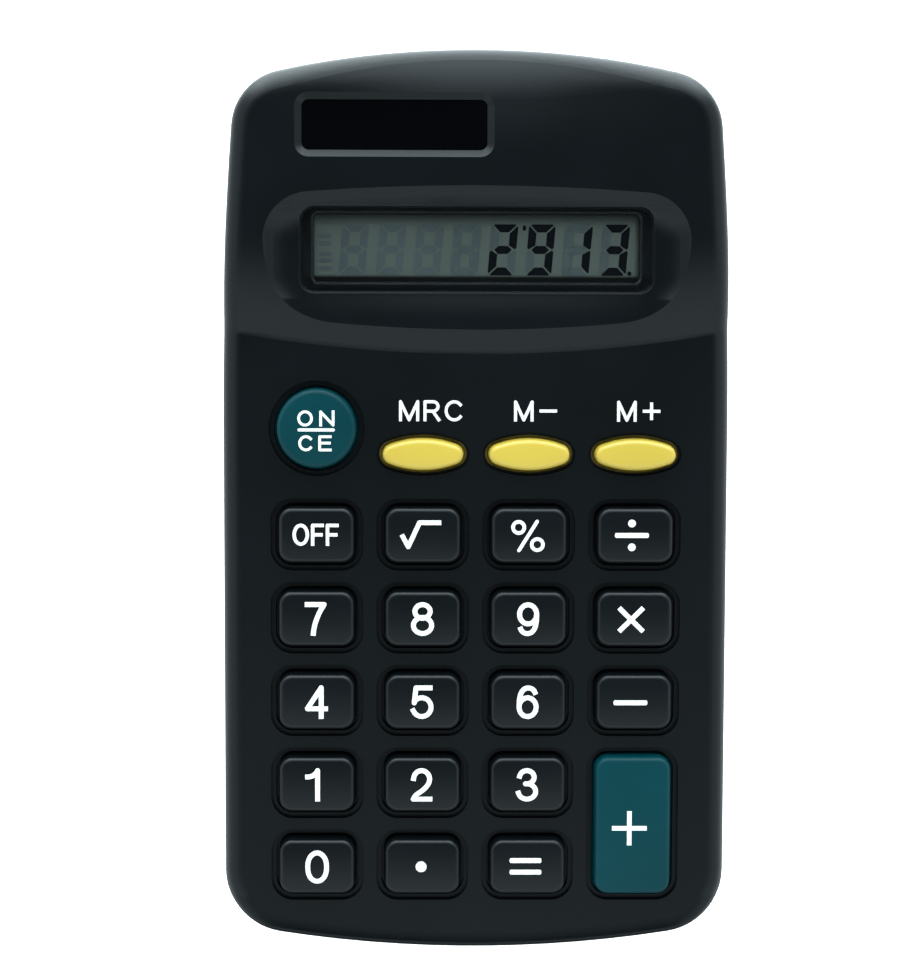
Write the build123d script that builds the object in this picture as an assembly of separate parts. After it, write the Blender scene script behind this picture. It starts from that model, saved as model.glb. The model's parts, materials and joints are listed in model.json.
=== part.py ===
from build123d import *
import os
from math import cos, pi, radians, sin

# Desk calculator: a wedge-shaped case in two shells with a raised display head, 23 keys over a rubber dome
# mat, a liquid crystal display, a solar strip and one AA cell behind a sliding cover.
# All sizes in millimetres.
#
# Two frames are used. The face frame lies in the keypad surface: x to the right, y towards the display,
# z out of the keys. The desk frame has z = 0 on the desk, and the face leans in it by WEDGE_ANGLE about x.

# Key layout
COLUMN_PITCH = 13.6
ROW_PITCH = 10.77
SIDE_MARGIN = 12.1
BOTTOM_MARGIN = 11.35
MEMORY_RISE = 10.36
ON_RISE = 13.65
STEP_RISE = 23.46
DISPLAY_RISE = 13.0
SOLAR_RISE = 15.55
TOP_MARGIN = 9.65

# Case form
HEAD_TAPER = 1.8
TAPER_START = 9.0
TOP_END_RADIUS = 116.0
BOTTOM_END_RADIUS = 164.0
TOP_CORNER_RADIUS = 7.5
BOTTOM_CORNER_RADIUS = 8.5
EDGE_RADIUS = 2.4
BASE_EDGE_RADIUS = 1.5
MID_THICKNESS = 13.6
WEDGE_ANGLE = 3.5
HEAD_RISE = 2.8
ROLL_LENGTH = 13.0
STEP_ARC_RADIUS = 180.0
STEP_FILLET = 1.4
FOREHEAD_LENGTH = 6.5
FOREHEAD_DROP = 1.8

# Case walls
SIDE_WALL = 1.8
FRONT_WALL = 1.8
REAR_WALL = 1.6
PARTING_DEPTH = 6.0
LIP_HEIGHT = 1.2
LIP_THICKNESS = 0.8
SEAM_BEVEL = 0.3
FIT = 0.1
POST_SINK = 0.2
POST_CLEARANCE = 0.3
SCREW_CLEARANCE = 0.2

# Display
DISH_WIDTH = 54.1
DISH_UP = 8.0
DISH_DOWN = 12.7
DISH_TOP_RADIUS = 6.0
DISH_BOTTOM_RADIUS = 9.5
DISH_TOP_SAG = 1.3
DISH_BOTTOM_SAG = 1.6
DISH_FLOOR = 0.8
DISH_WALL_LEAN = 53.0
DISH_FILLET = 5.0
LENS_WIDTH = 44.9
LENS_HEIGHT = 10.85
LENS_CORNER = 1.8
LENS_THICKNESS = 1.0
LENS_SINK = 0.12
LENS_EDGE = 0.25
OPENING_WIDTH = 42.2
OPENING_HEIGHT = 9.1
OPENING_CORNER = 1.0
OPENING_LIFT = 0.2
OPENING_BEVEL = 0.3
LEDGE_THICKNESS = 0.8
LCD_WIDTH = 50.0
LCD_HEIGHT = 14.0
LCD_LEDGE = 2.8
GLASS_THICKNESS = 0.7
FILM_THICKNESS = 0.2
FILM_INSET = 1.0
ZEBRA_LENGTH = 46.0
ZEBRA_WIDTH = 2.2

# Solar strip
SOLAR_X = -10.45
SOLAR_WIDTH = 23.4
SOLAR_HEIGHT = 6.3
SOLAR_CORNER = 0.9
SOLAR_SINK = 0.7
SOLAR_BEVEL = 0.88
SOLAR_THICKNESS = 0.9

# Keys
KEY_WIDTH = 10.1
KEY_LENGTH = 7.5
KEY_CORNER = 1.9
ROUND_KEY_DIAMETER = 10.5
LENS_KEY_WIDTH = 10.65
LENS_KEY_LENGTH = 4.35
LENS_KEY_END = 1.45
KEY_HEIGHT = 1.6
KEY_DRAFT = 4.0
KEY_CROWN = 0.25
KEY_EDGE = 0.6
KEY_WALL = 1.0
KEY_ROOF = 1.3
KEY_POST_RADIUS = 1.5
KEY_CLEARANCE = 0.3
RING_WIDTH = 0.9
LENS_RING_WIDTH = 0.6
RING_DEPTH = 0.7
FLANGE_REACH = 0.45
FLANGE_THICKNESS = 0.8
KEY_TRAVEL = 1.0

# Dome mat, board and screws
MAT_THICKNESS = 0.8
DOME_BASE_RADIUS = 3.2
DOME_TOP_RADIUS = 2.2
DOME_WALL = 0.5
PILL_RADIUS = 1.4
PILL_THICKNESS = 0.6
BOARD_THICKNESS = 1.2
BOARD_DEPTH = 5.0
BOARD_SIDE = 5.3
BOARD_GAP = 0.6
BOARD_CORNER = 2.0
BOARD_POST_RADIUS = 1.6
BOARD_SCREW_RADIUS = 0.65
BOARD_SCREW_HEAD_RADIUS = 1.4
BOARD_SCREW_LENGTH = 3.4
CASE_POST_RADIUS = 2.0
CASE_SCREW_RADIUS = 0.8
CASE_SCREW_HEAD_RADIUS = 1.7
CASE_SCREW_LENGTH = 4.8
CASE_SCREW_SEAT = 2.0
REAR_POST_WALL = 1.1
SCREW_HEAD_HEIGHT = 1.1
SCREW_SLOT_WIDTH = 0.45
SCREW_SLOT_DEPTH = 0.5
SCREW_SLOT_RIM = 0.35
CHIP_RADIUS = 5.0
CHIP_HEIGHT = 1.3
CAPACITOR_RADIUS = 2.5
CAPACITOR_HEIGHT = 2.6
RESISTOR_COUNT = 3
RESISTOR_PITCH = 2.6
RESISTOR_WIDTH = 1.3
RESISTOR_LENGTH = 2.6
RESISTOR_HEIGHT = 0.65

# Battery
CELL_DIAMETER = 14.5
CELL_LENGTH = 50.5
CELL_NUB_DIAMETER = 5.5
CELL_NUB_LENGTH = 1.0
CELL_X = 1.0
CELL_INSET = 12.3
CELL_CLEARANCE = 0.35
CELL_EDGE = 0.35
CONTACT_THICKNESS = 0.4
CONTACT_WIDTH = 9.0
SPRING_LENGTH = 3.8
SPRING_WIRE = 0.6
SPRING_TURNS = 3
SPRING_BASE_RADIUS = 4.2
SPRING_TIP_RADIUS = 2.6
BAY_WALL = 1.2
BAY_SIDE_ROOM = 0.35
LEAD_DIAMETER = 1.0
LEAD_BEND = 2.0

# Battery cover
COVER_SIDE_ROOM = 0.7
COVER_THICKNESS = 1.8
COVER_END_HEIGHT = 5.0
COVER_GAP = 0.15
COVER_RECESS = 0.15
RAIL_REACH = 0.8
RAIL_THICKNESS = 0.5
RAIL_LENGTH = 12.0
GRIP_COUNT = 6
GRIP_PITCH = 1.6
GRIP_WIDTH = 0.8
GRIP_DEPTH = 0.4
GRIP_LENGTH = 18.0

# Values worked out from the sizes above
KEYPAD_NEED = 3 * COLUMN_PITCH + 2 * SIDE_MARGIN
BAY_REACH = CELL_LENGTH / 2 - CELL_X + SPRING_LENGTH + CONTACT_THICKNESS
BAY_NEED = 2 * (BAY_REACH + BAY_SIDE_ROOM + SIDE_WALL + HEAD_TAPER)
BODY_WIDTH = max(KEYPAD_NEED, BAY_NEED)
BODY_LENGTH = BOTTOM_MARGIN + 4 * ROW_PITCH + STEP_RISE + DISPLAY_RISE + SOLAR_RISE + TOP_MARGIN
BOTTOM_Y = -BODY_LENGTH / 2
TOP_Y = BODY_LENGTH / 2
LAST_ROW_Y = BOTTOM_Y + BOTTOM_MARGIN
FIRST_ROW_Y = LAST_ROW_Y + 4 * ROW_PITCH
MEMORY_Y = FIRST_ROW_Y + MEMORY_RISE
ON_Y = FIRST_ROW_Y + ON_RISE
STEP_Y = FIRST_ROW_Y + STEP_RISE
DISPLAY_Y = STEP_Y + DISPLAY_RISE
SOLAR_Y = DISPLAY_Y + SOLAR_RISE
COLUMNS = [(i - 1.5) * COLUMN_PITCH for i in range(4)]
ROWS = [FIRST_ROW_Y - i * ROW_PITCH for i in range(5)]
REACH = BODY_LENGTH
FLANGE_TOP = -FRONT_WALL - FIT
FLANGE_BOTTOM = FLANGE_TOP - FLANGE_THICKNESS
DOME_TOP = FLANGE_BOTTOM - FIT
BOARD_TOP = -BOARD_DEPTH
BOARD_UNDER = BOARD_TOP - BOARD_THICKNESS
LENS_TOP = DISH_FLOOR - LENS_SINK
LEDGE_TOP = LENS_TOP - LENS_THICKNESS
LCD_TOP = LEDGE_TOP - LEDGE_THICKNESS
GLASS_TOP = LCD_TOP - FILM_THICKNESS
GLASS_STEP = GLASS_TOP - GLASS_THICKNESS
GLASS_UNDER = GLASS_STEP - GLASS_THICKNESS
LCD_UNDER = GLASS_UNDER - FILM_THICKNESS
LEAD_Z = LCD_UNDER - FIT - LEAD_DIAMETER / 2
SOLAR_TOP = HEAD_RISE - SOLAR_SINK
CELL_RADIUS = CELL_DIAMETER / 2
CELL_Y = TOP_Y - CELL_INSET
CELL_END_PLUS = CELL_X + CELL_LENGTH / 2
CELL_END_MINUS = CELL_X - CELL_LENGTH / 2
SPRING_BACK = CELL_END_MINUS - SPRING_LENGTH
BAY_Y = CELL_Y - CELL_RADIUS - CELL_CLEARANCE
COVER_HALF = CELL_LENGTH / 2 + abs(CELL_X) + COVER_SIDE_ROOM
LEADS = [(CELL_END_PLUS + CONTACT_THICKNESS / 2, 1), (SPRING_BACK - CONTACT_THICKNESS / 2, -1)]
BOARD_TOP_Y = BAY_Y - BAY_WALL - BOARD_GAP
BOARD_HALF = COLUMNS[-1] + BOARD_SIDE

# Keys: node name, outline, place on the face
KEYS = [("key_on_ce", "round", COLUMNS[0], ON_Y)]
for name, x in zip(("key_mrc", "key_m_minus", "key_m_plus"), COLUMNS[1:]):
    KEYS.append((name, "lens", x, MEMORY_Y))
LEGENDS = [
    ("off", "root", "percent", "divide"),
    ("7", "8", "9", "times"),
    ("4", "5", "6", "minus"),
    ("1", "2", "3"),
    ("0", "point", "equals"),
]
for y, legends in zip(ROWS, LEGENDS):
    for x, legend in zip(COLUMNS, legends):
        KEYS.append(("key_" + legend, "plain", x, y))
KEYS.append(("key_plus", "tall", COLUMNS[3], (ROWS[3] + ROWS[4]) / 2))

# Centres of the domes: one under each key, two under the tall one
DOMES = [(x, y) for name, kind, x, y in KEYS if kind != "tall"]
DOMES += [(COLUMNS[3], ROWS[3]), (COLUMNS[3], ROWS[4])]

# Board screws stand where four keys meet, and on both sides below the display
BOARD_SCREWS = [
    (side * COLUMN_PITCH, (ROWS[i] + ROWS[i + 1]) / 2) for side in (-1, 1) for i in (0, 2)
]
BOARD_SCREWS.append((0, (ROWS[3] + ROWS[4]) / 2))
BOARD_SCREWS += [(x, STEP_Y + BOARD_POST_RADIUS) for x in (COLUMNS[0], COLUMNS[3])]

# Case screws stand by the side walls
CASE_POST_X = BODY_WIDTH / 2 - SIDE_WALL - CASE_POST_RADIUS + POST_SINK
CASE_SCREWS = [
    (side * CASE_POST_X, y)
    for side in (-1, 1)
    for y in (STEP_Y - CASE_POST_RADIUS, (ROWS[2] + ROWS[3]) / 2)
]


def outline(inset=0.0):
    """Case outline seen along the face normal, every arc moved in by inset."""
    half = BODY_WIDTH / 2 - inset
    head_half = half - HEAD_TAPER
    shoulder = STEP_Y - TAPER_START
    top_radius = TOP_END_RADIUS - inset
    bottom_radius = BOTTOM_END_RADIUS - inset
    top_end = TOP_Y - inset
    bottom_end = BOTTOM_Y + inset
    top = top_end - top_radius + (top_radius**2 - head_half**2) ** 0.5
    bottom = bottom_end + bottom_radius - (bottom_radius**2 - half**2) ** 0.5
    edges = [
        ThreePointArc((head_half, top), (0, top_end), (-head_half, top)),
        TangentArc((-half, shoulder), (-head_half, top), tangent=(0, 1)),
        Line((-half, shoulder), (-half, bottom)),
        ThreePointArc((-half, bottom), (0, bottom_end), (half, bottom)),
        Line((half, bottom), (half, shoulder)),
        TangentArc((half, shoulder), (head_half, top), tangent=(0, 1)),
    ]
    face = make_face(edges)
    face = fillet(face.vertices().sort_by(Axis.Y)[-2:], TOP_CORNER_RADIUS - inset)
    return fillet(face.vertices().sort_by(Axis.Y)[:2], BOTTOM_CORNER_RADIUS - inset)


def prism(sketch, low, high):
    """Sketch raised from height low to height high."""
    return extrude(Pos(0, 0, low) * sketch, high - low, dir=(0, 0, 1))


def block(x0, x1, y0, y1, z0, z1):
    """Box between two opposite corners."""
    return Pos((x0 + x1) / 2, (y0 + y1) / 2, (z0 + z1) / 2) * Box(x1 - x0, y1 - y0, z1 - z0)


def pin(radius, low, high, x=0.0, y=0.0):
    """Upright cylinder from height low to height high."""
    return Pos(x, y, (low + high) / 2) * Cylinder(radius, high - low)


def bar(radius, x0, x1, y, z):
    """Cylinder lying along x."""
    return Pos((x0 + x1) / 2, y, z) * Rot(0, 90, 0) * Cylinder(radius, x1 - x0)


def space_over_face():
    """Everything above the keypad, the curved step and the display head: one profile turned about an axis
    beyond the head, so that the step runs across the face as an arc."""
    head_y = STEP_Y + ROLL_LENGTH
    forehead_y = TOP_Y - FOREHEAD_LENGTH
    low_y = BOTTOM_Y - BOTTOM_MARGIN
    high_y = TOP_Y + FIT
    step = Line((low_y, 0), (STEP_Y, 0))
    roll = TangentArc((head_y, HEAD_RISE), (STEP_Y, 0), tangent=(-1, 0))
    head = Line((head_y, HEAD_RISE), (forehead_y, HEAD_RISE))
    forehead = TangentArc((forehead_y, HEAD_RISE), (high_y, HEAD_RISE - FOREHEAD_DROP), tangent=(1, 0))
    lid = Polyline(
        (high_y, HEAD_RISE - FOREHEAD_DROP),
        (high_y + TOP_MARGIN, HEAD_RISE - FOREHEAD_DROP),
        (high_y + TOP_MARGIN, REACH),
        (low_y, REACH),
        (low_y, 0),
    )
    profile = make_face([step, roll, head, forehead] + lid.edges())
    corner = profile.vertices().sort_by_distance((STEP_Y, 0))[0]
    profile = fillet(corner, STEP_FILLET)
    axis_y = STEP_Y + STEP_ARC_RADIUS
    section_plane = Plane((0, 0, 0), x_dir=(0, 1, 0), z_dir=(1, 0, 0))
    sweep_axis = Axis((0, axis_y, 0), (0, 0, 1))
    half_turn = 45
    upright = (section_plane * profile).rotate(sweep_axis, -half_turn)
    return revolve(upright, sweep_axis, 2 * half_turn)


def rim_edges(solid, sketch, low, high):
    """Edges of solid that follow the outline of sketch between two heights, without the upright ones."""
    path = sketch.wire()
    upright = 0.9
    found = ShapeList()
    for edge in solid.edges():
        middle = edge.position_at(0.5)
        if not low < middle.Z < high or abs(edge.tangent_at(0.5).Z) > upright:
            continue
        if path.distance_to(Vector(middle.X, middle.Y, 0)) < FIT / 2:
            found.append(edge)
    return found


def key_outline(kind, grow=0.0):
    """Outline of a key, grown on all sides."""
    if kind == "round":
        return Circle(ROUND_KEY_DIAMETER / 2 + grow)
    if kind == "lens":
        end = LENS_KEY_END + grow
        end_x = LENS_KEY_WIDTH / 2 - LENS_KEY_END
        high = LENS_KEY_LENGTH / 2 + grow
        side = (end_x**2 + high**2 - end**2) / (2 * (high - end))
        share = side / (side - end)
        tip_x = end_x * share
        tip_y = (side - high) * (share - 1)
        return make_face(
            [
                ThreePointArc((tip_x, tip_y), (0, high), (-tip_x, tip_y)),
                ThreePointArc((-tip_x, tip_y), (-end_x - end, 0), (-tip_x, -tip_y)),
                ThreePointArc((-tip_x, -tip_y), (0, -high), (tip_x, -tip_y)),
                ThreePointArc((tip_x, -tip_y), (end_x + end, 0), (tip_x, tip_y)),
            ]
        )
    length = KEY_LENGTH + (ROW_PITCH if kind == "tall" else 0)
    return RectangleRounded(KEY_WIDTH + 2 * grow, length + 2 * grow, KEY_CORNER + grow)


def key_cap(kind):
    """Hollow key with a crowned top, a retaining flange and a post over the dome."""
    base = key_outline(kind)
    length = base.bounding_box().size.Y
    crown = KEY_CROWN * min(1, length / KEY_LENGTH)
    crown_radius = (length**2 / 4 + crown**2) / (2 * crown)
    cap = extrude(Pos(0, 0, FLANGE_TOP) * base, KEY_HEIGHT - FLANGE_TOP + FIT, taper=KEY_DRAFT)
    cap &= bar(crown_radius, -KEY_WIDTH, KEY_WIDTH, 0, KEY_HEIGHT - crown_radius)
    cap = fillet(cap.faces().sort_by(Axis.Z)[-1].edges(), KEY_EDGE)
    cap += prism(key_outline(kind, KEY_CLEARANCE + FLANGE_REACH), FLANGE_BOTTOM, FLANGE_TOP)
    cap -= prism(key_outline(kind, -KEY_WALL), FLANGE_BOTTOM, KEY_HEIGHT - KEY_ROOF)
    post_places = [0]
    if kind == "tall":
        post_places = [-ROW_PITCH / 2, ROW_PITCH / 2]
    for y in post_places:
        cap += pin(KEY_POST_RADIUS, FLANGE_BOTTOM, KEY_HEIGHT - KEY_ROOF, 0, y)
    return cap


def dish_outline():
    """Outline of the display dish."""
    half = DISH_WIDTH / 2
    top = DISPLAY_Y + DISH_UP
    bottom = DISPLAY_Y - DISH_DOWN
    face = make_face(
        [
            ThreePointArc((half, top - DISH_TOP_SAG), (0, top), (-half, top - DISH_TOP_SAG)),
            Line((-half, top - DISH_TOP_SAG), (-half, bottom + DISH_BOTTOM_SAG)),
            ThreePointArc((-half, bottom + DISH_BOTTOM_SAG), (0, bottom), (half, bottom + DISH_BOTTOM_SAG)),
            Line((half, bottom + DISH_BOTTOM_SAG), (half, top - DISH_TOP_SAG)),
        ]
    )
    corners = face.vertices().sort_by(Axis.Y)
    face = fillet(corners[2:], DISH_TOP_RADIUS)
    return fillet(face.vertices().sort_by(Axis.Y)[:2], DISH_BOTTOM_RADIUS)


def display_dish():
    """Tool for the display dish: sloping walls running into a flat floor."""
    rim = Pos(0, 0, HEAD_RISE) * dish_outline()
    dish = extrude(rim, DISH_FLOOR - HEAD_RISE, taper=DISH_WALL_LEAN)
    return fillet(dish.faces().sort_by(Axis.Z)[0].edges(), DISH_FILLET)


def biarc(start, start_way, end, end_way):
    """Two arcs from start to end that meet smoothly and keep the given directions at the ends."""
    chord = end - start
    square = 2 * (1 - start_way.dot(end_way))
    linear = 2 * chord.dot(start_way + end_way)
    reach = (-linear + (linear**2 + 4 * square * chord.dot(chord)) ** 0.5) / (2 * square)
    near = start + start_way * reach
    far = end - end_way * reach
    joint = (near + far) / 2
    first = Edge.make_tangent_arc(start, start_way, joint)
    return [first, Edge.make_tangent_arc(joint, far - near, end)]


def spring_point(turns):
    """Middle of the battery spring's wire after a number of turns from the contact plate."""
    share = turns / SPRING_TURNS
    radius = SPRING_BASE_RADIUS + share * (SPRING_TIP_RADIUS - SPRING_BASE_RADIUS)
    along = SPRING_BACK + SPRING_WIRE / 2 + FIT / 2 + share * (SPRING_LENGTH - SPRING_WIRE - FIT)
    return Vector(along, cell_y + radius * cos(2 * pi * turns), cell_z + radius * sin(2 * pi * turns))


def spring_way(turns):
    """Direction of the wire there."""
    small_turn = SPRING_TURNS / 10000
    return (spring_point(turns + small_turn) - spring_point(turns - small_turn)).normalized()


def battery_spring():
    """Conical spring in quarter turns, one tube."""
    quarters = [i / 4 for i in range(4 * SPRING_TURNS + 1)]
    edges = []
    for start, end in zip(quarters, quarters[1:]):
        edges += biarc(spring_point(start), spring_way(start), spring_point(end), spring_way(end))
    samples = 24
    points = [spring_point(i / samples) for i in range(samples * SPRING_TURNS + 1)]
    gaps = [(a - b).length for i, a in enumerate(points) for b in points[i + samples // 2:]]
    print("spring gap to itself", round(min(gaps) - SPRING_WIRE, 2))
    section = Plane(spring_point(0), z_dir=spring_way(0)) * Circle(SPRING_WIRE / 2)
    return sweep(section, Wire(edges))


def battery_lead(x, side):
    """Lead from a contact plate over the bay wall down to the board, in the face frame."""
    high = LEAD_Z
    low = BOARD_TOP + LEAD_DIAMETER / 2 + FIT / 2
    start_y = CELL_Y - CONTACT_WIDTH / 2 - FIT
    board_y = BOARD_TOP_Y - LEAD_DIAMETER
    route = FilletPolyline(
        (x, start_y, high),
        (x, board_y + LEAD_BEND, high),
        (x, board_y, low),
        (side * (BOARD_HALF - 2 * LEAD_BEND), board_y, low),
        radius=LEAD_BEND / 2,
    )
    return sweep(Plane(route @ 0, z_dir=route % 0) * Circle(LEAD_DIAMETER / 2), route)


def screw(radius, head_radius, length):
    """Screw pointing up, the underside of its head at height 0, with a cross in the head."""
    body = pin(head_radius, -SCREW_HEAD_HEIGHT, 0) + pin(radius, 0, length)
    body = chamfer(body.faces().sort_by(Axis.Z)[-1].edges(), radius / 2)
    slot = Pos(0, 0, SCREW_SLOT_DEPTH / 2 - SCREW_HEAD_HEIGHT)
    slot_length = 2 * (head_radius - SCREW_SLOT_RIM)
    for turn in (0, 90):
        body -= slot * Rot(0, 0, turn) * Box(slot_length, SCREW_SLOT_WIDTH, SCREW_SLOT_DEPTH)
    return body


# Outer form in the face frame, upper half with its rounded rim
upper = prism(outline(), -PARTING_DEPTH, HEAD_RISE + FIT) - space_over_face()
upper = fillet(rim_edges(upper, outline(), -FIT, HEAD_RISE + FIT), EDGE_RADIUS)
upper = chamfer(rim_edges(upper, outline(), -PARTING_DEPTH - FIT, -PARTING_DEPTH + FIT), SEAM_BEVEL)

# Outer form in the desk frame, lower half, centred on the desk
LEAN = Pos(0, 0, MID_THICKNESS) * Rot(WEDGE_ANGLE, 0, 0)
under_desk = block(-REACH, REACH, -REACH, REACH, -REACH, 0)
lower = LEAN * prism(outline(), -REACH, -PARTING_DEPTH) - under_desk
lower = fillet(lower.edges().group_by(Axis.Z)[0], BASE_EDGE_RADIUS)
extent = Compound([lower, LEAN * upper]).bounding_box()
FACE = Pos(0, -(extent.min.Y + extent.max.Y) / 2, 0) * LEAN
lower = Pos(0, -(extent.min.Y + extent.max.Y) / 2, 0) * lower

inside = prism(outline(SIDE_WALL), -REACH, -FRONT_WALL)
cell_line = FACE * Pos(0, CELL_Y, 0)
base_at_cell = cell_line.position.Z
cell_drop = base_at_cell - COVER_THICKNESS - COVER_RECESS - CELL_CLEARANCE - CELL_RADIUS
CELL_Z = -cell_drop / cos(radians(WEDGE_ANGLE))

# Front case
front = upper - inside
front -= bar(CELL_RADIUS + CELL_CLEARANCE, SPRING_BACK - BAY_WALL, CELL_END_PLUS + BAY_WALL, CELL_Y, CELL_Z)
front -= display_dish()
lens_place = Pos(0, DISPLAY_Y)
front -= prism(lens_place * RectangleRounded(LENS_WIDTH, LENS_HEIGHT, LENS_CORNER), LEDGE_TOP, HEAD_RISE)
opening_sketch = Pos(0, DISPLAY_Y + OPENING_LIFT) * RectangleRounded(
    OPENING_WIDTH - 2 * OPENING_BEVEL, OPENING_HEIGHT - 2 * OPENING_BEVEL, OPENING_CORNER - OPENING_BEVEL
)
front -= prism(opening_sketch, -FRONT_WALL, LEDGE_TOP)
front -= extrude(Pos(0, 0, LEDGE_TOP - OPENING_BEVEL) * opening_sketch, OPENING_BEVEL, taper=-45)
lcd_half = LCD_WIDTH / 2 + FIT
lcd_low = DISPLAY_Y - LCD_HEIGHT / 2 - FIT
lcd_high = DISPLAY_Y + LCD_HEIGHT / 2 + FIT
front -= block(-lcd_half, lcd_half, lcd_low, lcd_high, -FRONT_WALL - FIT, LCD_TOP)
for side in (-1, 1):
    rib = sorted((side * lcd_half, side * (lcd_half + BAY_WALL)))
    front += block(*rib, lcd_low, DISPLAY_Y, GLASS_UNDER, -FRONT_WALL)
solar_place = Pos(SOLAR_X, SOLAR_Y)
solar_sketch = solar_place * RectangleRounded(SOLAR_WIDTH, SOLAR_HEIGHT, SOLAR_CORNER)
front -= prism(solar_sketch, SOLAR_TOP - SOLAR_THICKNESS, HEAD_RISE)
solar_rim = solar_place * RectangleRounded(
    SOLAR_WIDTH + 2 * SOLAR_BEVEL, SOLAR_HEIGHT + 2 * SOLAR_BEVEL, SOLAR_CORNER + SOLAR_BEVEL
)
solar_low = (Pos(0, 0, SOLAR_TOP) * solar_sketch).face()
solar_high = (Pos(0, 0, HEAD_RISE) * solar_rim).face()
front -= loft([solar_low, solar_high], ruled=True)
rings = []
key_holes = []
for name, kind, x, y in KEYS:
    ring = LENS_RING_WIDTH if kind == "lens" else RING_WIDTH
    rings.append(Pos(x, y) * prism(key_outline(kind, ring), -RING_DEPTH, KEY_HEIGHT))
    key_holes.append(Pos(x, y) * prism(key_outline(kind, KEY_CLEARANCE), -FRONT_WALL, KEY_HEIGHT))
front -= rings
front -= key_holes
board_screw_end = BOARD_UNDER + BOARD_SCREW_LENGTH + FIT
case_screw_end = CASE_SCREW_LENGTH - CASE_SCREW_SEAT - PARTING_DEPTH + FIT
posts = [pin(BOARD_POST_RADIUS, BOARD_TOP, -FRONT_WALL, x, y) for x, y in BOARD_SCREWS]
posts += [pin(CASE_POST_RADIUS, -PARTING_DEPTH, -FRONT_WALL, x, y) for x, y in CASE_SCREWS]
front += posts
post_holes = [pin(BOARD_SCREW_RADIUS, BOARD_TOP, board_screw_end, x, y) for x, y in BOARD_SCREWS]
post_holes += [pin(CASE_SCREW_RADIUS, -PARTING_DEPTH, case_screw_end, x, y) for x, y in CASE_SCREWS]
front -= post_holes
lip_room = prism(outline(SIDE_WALL - LIP_THICKNESS - FIT), -PARTING_DEPTH, -PARTING_DEPTH + LIP_HEIGHT + FIT)
lip_room -= prism(outline(SIDE_WALL), -PARTING_DEPTH, -PARTING_DEPTH + LIP_HEIGHT + FIT)
front -= lip_room

# Rear case
rear = lower - (FACE * inside - block(-REACH, REACH, -REACH, REACH, -REACH, REAR_WALL))
lip = prism(outline(SIDE_WALL - LIP_THICKNESS), -PARTING_DEPTH - LIP_HEIGHT, -PARTING_DEPTH + LIP_HEIGHT)
lip -= prism(outline(SIDE_WALL), -PARTING_DEPTH - LIP_HEIGHT, -PARTING_DEPTH + LIP_HEIGHT)
for x, y in CASE_SCREWS:
    lip -= pin(CASE_POST_RADIUS + FIT, -REACH, REACH, x, y)
rear += FACE * lip
cell_y = (FACE * Pos(0, CELL_Y, CELL_Z)).position.Y
cell_z = (FACE * Pos(0, CELL_Y, CELL_Z)).position.Z
bay_y = cell_y - CELL_RADIUS - CELL_CLEARANCE
bay = block(SPRING_BACK - CONTACT_THICKNESS - BAY_WALL, CELL_END_PLUS + CONTACT_THICKNESS + BAY_WALL,
            bay_y - BAY_WALL, bay_y, FIT, REACH)
for end, out in ((SPRING_BACK - CONTACT_THICKNESS, -1), (CELL_END_PLUS + CONTACT_THICKNESS, 1)):
    span = sorted((end, end + out * BAY_WALL))
    bay += block(*span, bay_y, cell_y + CONTACT_WIDTH / 2, FIT, REACH)
rear += bay & lower
for x, y in CASE_SCREWS:
    post = FACE * pin(CASE_SCREW_HEAD_RADIUS + REAR_POST_WALL, -REACH, -PARTING_DEPTH, x, y)
    rear += post & lower
    rear -= FACE * pin(CASE_SCREW_RADIUS + FIT, -REACH, REACH, x, y)
    head_hole = pin(CASE_SCREW_HEAD_RADIUS + SCREW_CLEARANCE, -REACH, -PARTING_DEPTH - CASE_SCREW_SEAT, x, y)
    rear -= FACE * head_hole

# Battery cover and its opening
cover_space = block(-COVER_HALF, COVER_HALF, bay_y, REACH, -REACH, COVER_END_HEIGHT)
rear -= cover_space
rail_z = (REAR_WALL - RAIL_THICKNESS) / 2
for side in (-1, 1):
    span = sorted((side * (COVER_HALF - RAIL_REACH), side * (COVER_HALF + FIT)))
    rear += block(*span, bay_y + BAY_WALL, bay_y + BAY_WALL + RAIL_LENGTH, rail_z, rail_z + RAIL_THICKNESS)
cover = lower & block(
    -COVER_HALF + COVER_GAP, COVER_HALF - COVER_GAP, bay_y + COVER_GAP, REACH,
    COVER_RECESS, COVER_END_HEIGHT - COVER_GAP,
)
cover -= FACE * inside - block(-REACH, REACH, -REACH, REACH, -REACH, COVER_RECESS + COVER_THICKNESS)
for side in (-1, 1):
    span = sorted((side * (COVER_HALF - RAIL_REACH - COVER_GAP), side * REACH))
    cover -= block(*span, -REACH, bay_y + BAY_WALL + RAIL_LENGTH + COVER_GAP,
                   rail_z - FIT, rail_z + RAIL_THICKNESS + FIT)
for i in range(GRIP_COUNT):
    y = cell_y + (i - (GRIP_COUNT - 1) / 2) * GRIP_PITCH
    cover -= block(-GRIP_LENGTH / 2, GRIP_LENGTH / 2, y - GRIP_WIDTH / 2, y + GRIP_WIDTH / 2, 0,
                   COVER_RECESS + GRIP_DEPTH)

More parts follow.
